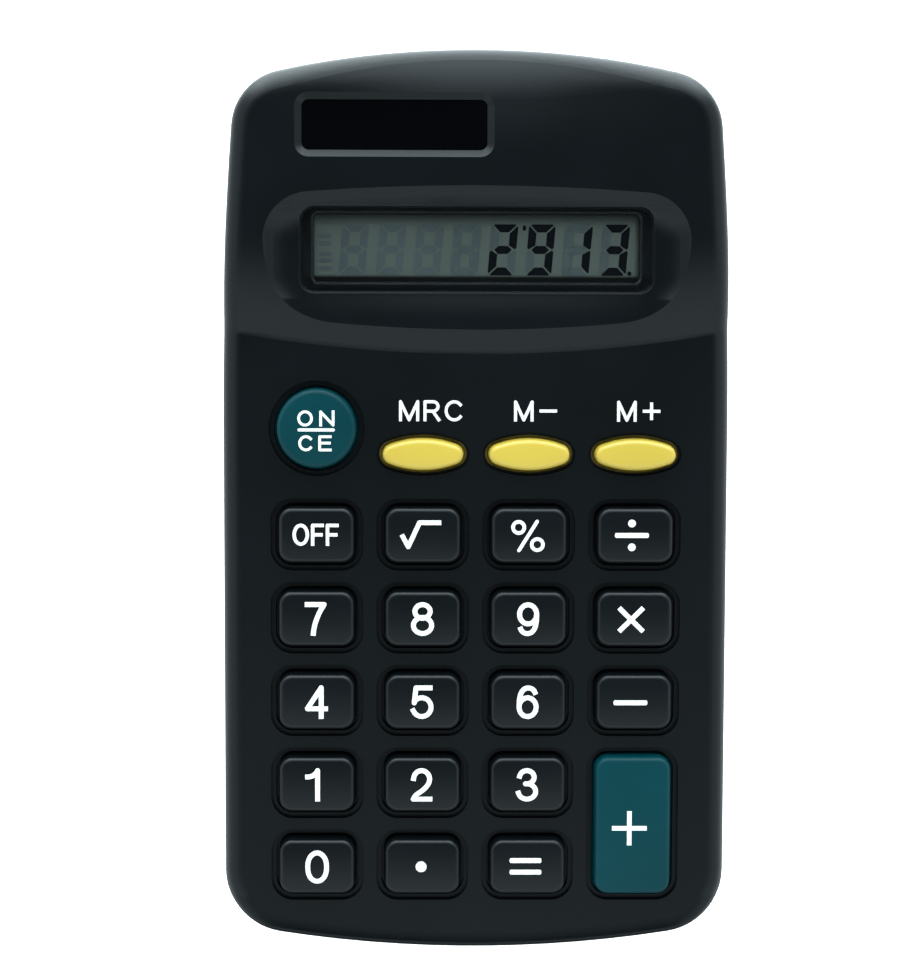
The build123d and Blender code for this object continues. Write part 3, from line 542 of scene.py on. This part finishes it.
def soften_case(material):
    """Shades the case with soft forms: a crown on the head, a slope under the window, gentle dish walls."""
    window = face_middle("lcd_window")
    relief = shader_of(material).inputs["Normal"].links[0].from_node
    if relief.inputs["Normal"].links:
        normal = relief.inputs["Normal"].links[0].from_socket
    else:
        normal = material.node_tree.nodes.new("ShaderNodeNewGeometry").outputs["Normal"]
    place = object_place(material)
    x = along(material, place, FACE_RIGHT)
    y = along(material, place, FACE_UPWARD)
    squared = calculate(material, "MULTIPLY", x, x)

    def height(millimetres):
        """A place along the face, given from the middle of the window."""
        return window.y + millimetres * MM

    def times(*values):
        """The product of sockets."""
        product = values[0]
        for value in values[1:]:
            product = calculate(material, "MULTIPLY", product, value)
        return product

    def middle(half_width):
        """One in the middle of the case, falling to nothing at half_width."""
        outward = calculate(material, "DIVIDE", squared, (half_width * MM) ** 2)
        return calculate(material, "MAXIMUM", calculate(material, "SUBTRACT", 1, outward), 0)

    def slant(value, start, end, degrees):
        """A tilt that grows from nothing to an angle between two places."""
        return soft_step(material, value, height(start), height(end), 0, tan(radians(degrees)))

    crown = times(slant(y, CROWN_START, CROWN_END, CROWN_TILT), middle(CROWN_HALF_WIDTH))
    under_arc = calculate(material, "MULTIPLY_ADD", squared, BAND_ARC / MM, y)
    outer = calculate(material, "SUBTRACT", 1, middle(CROWN_HALF_WIDTH))
    band = times(slant(under_arc, BAND_START, BAND_END, BAND_TILT), outer)
    below = soft_step(material, y, height(SLOPE_END), height(SLOPE_END + SLOPE_FADE), 1, 0)
    slope = times(slant(y, SLOPE_START, SLOPE_END, SLOPE_TILT), below, middle(SLOPE_HALF_WIDTH))
    tilt = calculate(material, "ADD", calculate(material, "ADD", crown, band), slope)
    facing = along(material, normal, FACE_UPWARD)
    for low, high, share, side in SOFT_WALLS:
        rise = soft_step(material, y, height(low - WALL_FADE), height(low))
        fall = soft_step(material, y, height(high), height(high + WALL_FADE), share, 0)
        wall = times(calculate(material, side, facing, 0), rise, fall)
        tilt = calculate(material, "SUBTRACT", tilt, wall)
    reach = calculate(material, "ABSOLUTE", x)
    in_dish = soft_step(material, reach, DISH_REACH[0] * MM, DISH_REACH[1] * MM, -SIDE_WALL_SHARE, 0)
    over = soft_step(material, y, height(DISH_LOW[0]), height(DISH_LOW[1]))
    sideways = times(along(material, normal, FACE_RIGHT), in_dish, over)
    on_top = soft_step(material, along(material, normal, FACE_UP), *SOFT_FACING)
    total = normal
    for axis, amount in ((FACE_UPWARD, times(tilt, on_top)), (FACE_RIGHT, times(sideways, on_top))):
        push = material.node_tree.nodes.new("ShaderNodeVectorMath")
        push.operation = "MULTIPLY_ADD"
        push.inputs[0].default_value = axis
        feed(material, push.inputs[1], amount)
        feed(material, push.inputs[2], total)
        total = push.outputs["Vector"]
    unit = material.node_tree.nodes.new("ShaderNodeVectorMath")
    unit.operation = "NORMALIZE"
    feed(material, unit.inputs[0], total)
    feed(material, relief.inputs["Normal"], unit.outputs["Vector"])


def paint_nodes(material, *names):
    """Gives CAD nodes their material."""
    for name in names:
        slots = nodes[name].data.materials
        slots.clear()
        slots.append(material)


def paint_window_rim(material):
    """Gives the case round the display window its own material."""
    mesh = nodes["front_case"].data
    mesh.materials.append(material)
    low, high = face_box("lcd_window")
    for face in mesh.polygons:
        centre = to_face(face.center)
        beside = max(low.x - centre.x, centre.x - high.x, low.y - centre.y, centre.y - high.y)
        if beside < RIM_REACH * MM and low.z - MM < centre.z < high.z + RIM_ROUNDING * MM:
            face.material_index = len(mesh.materials) - 1


# Materials
CASE_FINISH = {"colour": (0.0013, 0.0023, 0.0031), "roughness": 0.32, "depth": 0.018, "specular": 0.18}
KEY_FINISH = {"grain": 0.3, "depth": 0.004}
case_plastic = moulded("case_plastic", **CASE_FINISH)
case_front = moulded("case_front", **CASE_FINISH)
case_rim = moulded("case_rim", **CASE_FINISH, rounding=RIM_ROUNDING)
soften_case(case_front)
soften_case(case_rim)
key_black = moulded("key_black", (0.0018, 0.0028, 0.0036), 0.31, specular=0.22, **KEY_FINISH)
key_green = moulded("key_green", (0.0003, 0.031, 0.038), 0.38, specular=0.12, **KEY_FINISH)
key_yellow = moulded("key_yellow", (0.475, 0.336, 0.042), 0.36, shade=0.04, **KEY_FINISH)
ink_white = moulded("ink_white", (0.7, 0.685, 0.67), 0.5, depth=0.002, shade=0.02, specular=0.2)
ink_digit = moulded("ink_digit", (0.0012, 0.0018, 0.003), 0.5, depth=0.001, specular=0.0)
ink_ghost = moulded("ink_ghost", (0.046, 0.059, 0.061), 0.5, depth=0.001, specular=0.0)
film = moulded("film", (0.062, 0.075, 0.066), 0.5, grain=0.4, depth=0.002, shade=0.06, specular=0.0)
reflector = metal("reflector", (0.55, 0.58, 0.54), 0.4)
solar_dark = moulded("solar_dark", (0.0008, 0.0008, 0.0012), 0.16, grain=1.0, depth=0.001, specular=0.25)
silicone = moulded("silicone", (0.5, 0.52, 0.51), 0.6)
carbon = moulded("carbon", (0.012, 0.012, 0.012), 0.7)
zebra = moulded("zebra", (0.25, 0.2, 0.2), 0.7)
laminate = moulded("laminate", (0.3, 0.19, 0.07), 0.5)
epoxy = moulded("epoxy", (0.008, 0.008, 0.009), 0.2)
component = moulded("component", (0.03, 0.04, 0.07), 0.4)
sleeve = moulded("sleeve", (0.3, 0.02, 0.02), 0.45)
jacket = moulded("jacket", (0.05, 0.16, 0.07), 0.3)
zinc = metal("zinc", (0.5, 0.51, 0.52), 0.35)
nickel = metal("nickel", (0.62, 0.6, 0.55), 0.3)
clear = moulded("clear", (0.02, 0.022, 0.022), 0.08, grain=2.0, depth=0.001, shade=0.03)
shader_of(clear).inputs["Alpha"].default_value = 0.06

window_middle = face_middle("lcd_window")
for way, half_size, shadow in (
    (-FACE_UPWARD, FILM_HALF_HEIGHT, LOWER_SHADOW),
    (FACE_UPWARD, FILM_HALF_HEIGHT, UPPER_SHADOW),
    (FACE_RIGHT, FILM_HALF_WIDTH, RIGHT_SHADOW),
    (-FACE_RIGHT, FILM_HALF_WIDTH, LEFT_SHADOW),
):
    edge = to_row(window_middle).dot(way) + half_size * MM
    edge_shadow(film, way, edge + shadow[0] * MM, edge + shadow[1] * MM)

keys = [name for name in nodes if name.startswith("key_") and name != "key_mat"]
paint_nodes(key_black, *keys)
paint_nodes(key_green, "key_on_ce", "key_plus")
paint_nodes(key_yellow, "key_mrc", "key_m_minus", "key_m_plus")
paint_nodes(case_front, "front_case")
paint_nodes(case_plastic, "rear_case", "battery_cover")
paint_window_rim(case_rim)
paint_nodes(clear, "lcd_window", "lcd_glass")
paint_nodes(film, "lcd_front_polariser")
paint_nodes(reflector, "lcd_reflector")
paint_nodes(solar_dark, "solar_cell")
paint_nodes(silicone, "key_mat")
paint_nodes(carbon, "contact_pills")
paint_nodes(zebra, "zebra_strip")
paint_nodes(laminate, "circuit_board")
paint_nodes(epoxy, "chip_cover")
paint_nodes(component, "board_parts")
paint_nodes(sleeve, "battery_leads")
paint_nodes(jacket, "battery")
paint_nodes(zinc, "board_screws", "case_screws")
paint_nodes(nickel, "battery_plus_contact", "battery_minus_contact", "battery_spring")


def key_legends():
    """White printing for each key that has some."""
    legends = {
        "key_" + name: Ink()
        for name in (*"0123456789", "minus", "divide", "equals", "point", "percent", "off", "on_ce")
    }
    for digit in "0123456789":
        legends["key_" + digit].text(digit, DIGIT_LEFT, DIGIT_RISE, DIGIT_HEIGHT, DIGIT_STROKE)
    for name, (width, height), (x, y), stroke in (
        ("root", ROOT_BOX, ROOT_PLACE, SIGN_STROKE),
        ("times", TIMES_BOX, (SIGN_SHIFT, 0), TIMES_STROKE),
        ("plus", PLUS_BOX, (SIGN_SHIFT, PLUS_RISE), SIGN_STROKE),
    ):
        legends["key_" + name] = Ink()
        legends["key_" + name].sign(name, x - width / 2, y, width, height, stroke)
    legends["key_minus"].bar(SIGN_SHIFT, 0, MINUS_LENGTH, BAR_STROKE)
    legends["key_divide"].bar(SIGN_SHIFT, DIVIDE_RISE, MINUS_LENGTH, BAR_STROKE)
    equals_x, equals_y = EQUALS_PLACE
    ring_x, ring_y = PERCENT_RING_PLACE
    for side in (-1, 1):
        legends["key_divide"].dot(SIGN_SHIFT, DIVIDE_RISE + side * DIVIDE_DOT_RISE, DIVIDE_DOT)
        legends["key_equals"].bar(equals_x, equals_y + side * EQUALS_BAR_RISE, EQUALS_LENGTH, BAR_STROKE)
        middle = (PERCENT_SHIFT + side * ring_x, side * ring_y)
        ring = arc(*middle, PERCENT_RING, PERCENT_RING, 0, 360, steps=28)
        legends["key_percent"].stroke(ring, PERCENT_STROKE)
    legends["key_percent"].stroke([(PERCENT_SHIFT + x, y) for x, y in PERCENT_LINE], PERCENT_STROKE)
    legends["key_point"].dot(*POINT_PLACE, POINT_RADIUS)
    legends["key_off"].text("OFF", *OFF_PLACE, OFF_HEIGHT, OFF_STROKE, OFF_SPREAD, OFF_GAP)
    legends["key_on_ce"].text("ON", *ON_PLACE, ON_HEIGHT, ON_STROKE, ON_SPREAD, ON_GAP)
    legends["key_on_ce"].text("CE", *CE_PLACE, ON_HEIGHT, ON_STROKE, ON_SPREAD, CE_GAP)
    legends["key_on_ce"].bar(0, ON_BAR_RISE, ON_BAR_LENGTH, 2 * BAR_CORNER)
    return legends


def memory_legends():
    """Words on the case above each memory key."""
    words = {name: Ink() for name in ("key_mrc", "key_m_minus", "key_m_plus")}
    words["key_mrc"].text("MRC", MRC_LEFT, MEMORY_RISE, MEMORY_HEIGHT, MEMORY_STROKE, MRC_SPREAD)
    for name, (sign, left, gap) in MEMORY_SIGNS.items():
        words[name].text("M", left, MEMORY_RISE, MEMORY_HEIGHT, MEMORY_STROKE)
        sign_left = left + GLYPHS["M"][0] * MEMORY_HEIGHT + gap
        words[name].sign(sign, sign_left, MEMORY_RISE, MEMORY_SIGN, MEMORY_SIGN, MEMORY_STROKE)
    return words


# Segments of each figure: top, upper right, lower right, bottom, lower left, upper left, middle
FIGURES = {"1": "12", "2": "01346", "3": "01236", "9": "012356", " ": ""}


def segment(number):
    """Corners of one segment of a figure about its middle, before the slant."""
    half = CELL_WIDTH / 2
    tall = CELL_HEIGHT / 2
    thick = SEGMENT_WIDTH
    gap = SEGMENT_GAP
    cut = SEGMENT_CHAMFER
    if number == 6:
        tip = half - thick / 2 - gap
        flat = half - thick - gap
        rise = thick / 2
        return [(-tip, 0), (-flat, rise), (flat, rise), (tip, 0), (flat, -rise), (-flat, -rise)]
    if number in (0, 3):
        inner = half - thick - 2 * gap
        corner = (half - cut / 2 - gap, tall - cut / 2 + gap)
        right = [(half - cut, tall), corner, (inner, tall - thick)]
        outline = right + [(-x, y) for x, y in reversed(right)]
    else:
        outline = [
            (half, tall - cut),
            (half - cut / 2 + gap, tall - cut / 2 - gap),
            (half - thick, tall - thick - 2 * gap),
            (half - thick, thick / 2 + gap),
            (half - cut / 2, gap),
            (half, gap + cut / 2),
        ]
    across = -1 if number in (4, 5) else 1
    upward = -1 if number in (2, 3, 4) else 1
    return [(across * x, upward * y) for x, y in outline]


def display_figures():
    """Dark figures of the display, and the faint traces of the segments that are off."""
    dark, faint = Ink(), Ink()
    lean = tan(radians(SEGMENT_SLANT))
    for place, figure in enumerate(SHOWN):
        x = LAST_CELL_X - (len(SHOWN) - 1 - place) * CELL_PITCH
        for number in range(7):
            ink = dark if str(number) in FIGURES[figure] else faint
            ink.polygon([(x + px + py * lean, py) for px, py in segment(number)])
    dark.dot(LAST_CELL_X + FIGURE_POINT_PLACE[0], FIGURE_POINT_PLACE[1], FIGURE_POINT_RADIUS)
    tick_x = LAST_CELL_X - TICK_CELL * CELL_PITCH
    dark.stroke([(tick_x + x, y) for x, y in TICK_LINE], TICK_STROKE)
    for y in MARK_RISES:
        faint.bar(MARK_X, y, MARK_LENGTH, 2 * BAR_CORNER)
    return dark, faint


def nearest_key(point):
    """The key whose outline is nearest to a point of the face frame."""
    def gap(name):
        low, high = key_boxes[name]
        return max(low.x - point.x, point.x - high.x, low.y - point.y, point.y - high.y)
    return min(key_boxes, key=gap)


def cut_out(mesh, faces):
    """Points and corner numbers of some faces of a mesh."""
    used = sorted({i for face in faces for i in face.vertices})
    number = {old: new for new, old in enumerate(used)}
    points = [mesh.vertices[i].co for i in used]
    return points, [[number[i] for i in face.vertices] for face in faces]


def line_corner():
    """Lines the left rear corner of the case, which has a slit, with a copy of the right one's wall,
    mirrored and just under the surface."""
    mesh = nodes["front_case"].data
    outward = (FACE_RIGHT + FACE_UPWARD).normalized()
    wall = []
    for face in mesh.polygons:
        in_span = CORNER_SPAN[0] * MM < face.center.x < CORNER_SPAN[1] * MM
        in_corner = in_span and face.center.y > CORNER_BACK * MM
        upright = face.normal.dot(FACE_UP) < CORNER_RISE
        if in_corner and upright and face.normal.dot(outward) > CORNER_FACING:
            wall.append(face)
    points, corners = cut_out(mesh, wall)
    sink = (FACE_RIGHT - FACE_UPWARD).normalized() * CORNER_SINK * MM
    mirrored = [Vector((-point.x, point.y, point.z)) + sink for point in points]
    turned = [numbers[::-1] for numbers in corners]
    lining = add_piece("corner_lining", mirrored, turned, "case", case_front, "front_case")
    lining.modifiers.new("wall", "SOLIDIFY").thickness = CORNER_WALL * MM


def part_by_key(node, name, material, belongs):
    """Parts a soft CAD node into the pieces under each key and the rest."""
    mesh = nodes[node].data
    groups = {}
    for face in mesh.polygons:
        key = nearest_key(to_face(face.center)) if belongs(face) else None
        groups.setdefault(key, []).append(face)
    for key, faces in groups.items():
        piece = add_piece(f"{name}_{key or 'sheet'}", *cut_out(mesh, faces), "case", material, node)
        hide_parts(node)
        if key:
            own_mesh(piece)


def on_dome(face):
    """True for a face of the dome mat above its sheet, or on the slanted wall of a dome's hollow."""
    slant = abs(face.normal.dot(FACE_UP))
    return to_face(face.center).z > board_top + SHEET_TOP * MM or HOLLOW_SLANT[0] < slant < HOLLOW_SLANT[1]


key_boxes = {name: face_box(name) for name in keys}
board_top = face_box("circuit_board")[1].z
part_by_key("key_mat", "dome", silicone, on_dome)
part_by_key("contact_pills", "pill", carbon, lambda face: True)
line_corner()
for key, ink in key_legends().items():
    ink.lay("legend_" + key, key, face_middle(key), key, ink_white)
for key, ink in memory_legends().items():
    ink.lay("label_" + key, "front_case", face_middle(key), "case", ink_white)
dark_figures, faint_figures = display_figures()
dark_figures.lay("display_figures", "lcd_front_polariser", window_middle, "case", ink_digit, SEGMENT_LIFT)
faint_figures.lay("display_traces", "lcd_front_polariser", window_middle, "case", ink_ghost, SEGMENT_LIFT)


def white_floor():
    """A plain floor, white to the camera and left out of reflections."""
    half = 3.0
    corners = [(-half, -half, 0), (half, -half, 0), (half, half, 0), (-half, half, 0)]
    mesh = bpy.data.meshes.new("floor")
    mesh.from_pydata(corners, [], [(0, 1, 2, 3)])
    floor = bpy.data.objects.new("floor", mesh)
    bpy.context.scene.collection.objects.link(floor)
    floor.visible_glossy = False
    paint = bpy.data.materials.new("floor_paint")
    shader = shader_of(paint)
    shader.inputs["Base Color"].default_value = (0.9, 0.9, 0.9, 1)
    shader.inputs["Roughness"].default_value = 0.9
    shader.inputs["Specular IOR Level"].default_value = 0
    shader.inputs["Emission Color"].default_value = (1, 1, 1, 1)
    shader.inputs["Emission Strength"].default_value = 1.0
    mesh.materials.append(paint)


def studio_light():
    """Soft light painted on the world: dark overhead, a wide light before the keys, bright beyond the head
    and at both sides."""
    world = bpy.data.worlds.new("studio")
    bpy.context.scene.world = world
    world.use_nodes = True
    parts, links = world.node_tree.nodes, world.node_tree.links
    place = parts.new("ShaderNodeTexCoord")
    split = parts.new("ShaderNodeSeparateXYZ")
    links.new(place.outputs["Generated"], split.inputs["Vector"])
    lean = parts.new("ShaderNodeMath")
    lean.operation = "ARCTAN2"
    links.new(split.outputs["Y"], lean.inputs[0])
    links.new(split.outputs["Z"], lean.inputs[1])
    share = parts.new("ShaderNodeMapRange")
    share.inputs["From Min"].default_value = -pi
    share.inputs["From Max"].default_value = pi
    links.new(lean.outputs["Value"], share.inputs["Value"])
    ramp = parts.new("ShaderNodeValToRGB")
    stops = ramp.color_ramp.elements
    while len(stops) < len(STUDIO):
        stops.new(1.0)
    for stop, (angle, level) in zip(stops, STUDIO):
        stop.position = angle / 360 + 0.5
        stop.color = [level * tint for tint in STUDIO_TINT] + [1]
    links.new(share.outputs["Result"], ramp.inputs["Fac"])
    sideways = parts.new("ShaderNodeMath")
    sideways.operation = "ABSOLUTE"
    links.new(split.outputs["X"], sideways.inputs[0])
    side = parts.new("ShaderNodeMapRange")
    side.interpolation_type = "SMOOTHSTEP"
    side.inputs["From Min"].default_value = SIDE_START
    side.inputs["From Max"].default_value = SIDE_FULL
    links.new(sideways.outputs["Value"], side.inputs["Value"])
    blend = parts.new("ShaderNodeMix")
    blend.data_type = "RGBA"
    first_colour, second_colour, mixed_colour = blend.inputs[6], blend.inputs[7], blend.outputs[2]
    links.new(side.outputs["Result"], blend.inputs["Factor"])
    links.new(ramp.outputs["Color"], first_colour)
    second_colour.default_value = [SIDE_BRIGHTNESS * tint for tint in STUDIO_TINT] + [1]
    background = parts["Background"]
    background.inputs["Strength"].default_value = STUDIO_STRENGTH
    links.new(mixed_colour, background.inputs["Color"])


def photo_camera():
    """The camera at the photograph's place."""
    data = bpy.data.cameras.new("camera")
    data.sensor_width = 36
    data.lens = FOCAL_PIXELS * data.sensor_width / IMAGE_HEIGHT
    data.clip_start = 0.01
    camera = bpy.data.objects.new("camera", data)
    bpy.context.scene.collection.objects.link(camera)
    bpy.context.scene.camera = camera
    turn = (
        Matrix.Rotation(radians(VIEW_ROLL), 3, "Z")
        @ Matrix.Rotation(radians(VIEW_SWING), 3, "Y")
        @ Matrix.Rotation(radians(VIEW_TILT), 3, "X")
    ).transposed()
    aim = face_middle("key_5") + Vector((*AIM_FROM_KEY_5, -KEY_RISE)) * MM
    camera.location = to_row(aim + turn @ Vector((0, 0, VIEW_DISTANCE * MM)))
    camera.rotation_euler = (FACE_TURN.transposed() @ turn).to_euler()


white_floor()
studio_light()
photo_camera()
bpy.context.scene.view_settings.view_transform = "Standard"
